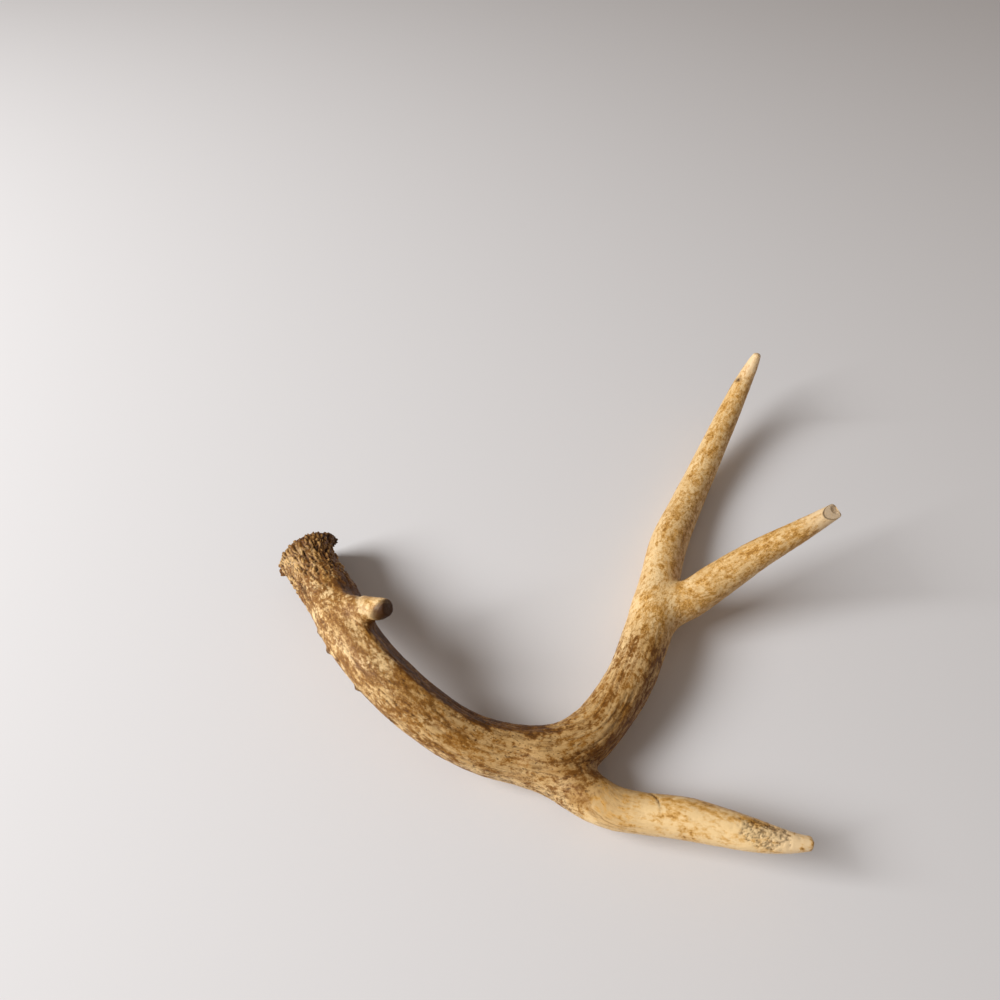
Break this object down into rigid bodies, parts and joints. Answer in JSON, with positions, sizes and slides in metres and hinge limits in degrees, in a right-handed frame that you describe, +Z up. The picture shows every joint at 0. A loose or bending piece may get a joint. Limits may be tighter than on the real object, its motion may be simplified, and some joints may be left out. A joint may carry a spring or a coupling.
{
  "type": "deer antler",
  "caption": "Shed deer antler lying on its side: a bowed main beam from a flared burr, with a short brow tine and two longer tines.",
  "frame": {"origin": "on the surface it rests on, under the middle of its bounding box", "axes": "+Z up from the surface; +X from the burr towards the tines; +Y from the bow of the beam towards the beam's tip"},
  "size_m": [0.3102, 0.3124, 0.0656],
  "materials": {
    "antler_bone": "natural satin bone, cream with brown staining, rough and beaded at the base"
  },
  "bodies": {
    "root": {"lower_beam": "antler_bone", "brow_tine": "antler_bone", "second_tine": "antler_bone", "upper_beam": "antler_bone", "third_tine": "antler_bone", "beam_tip": "antler_bone"}
  },
  "joints": []
}
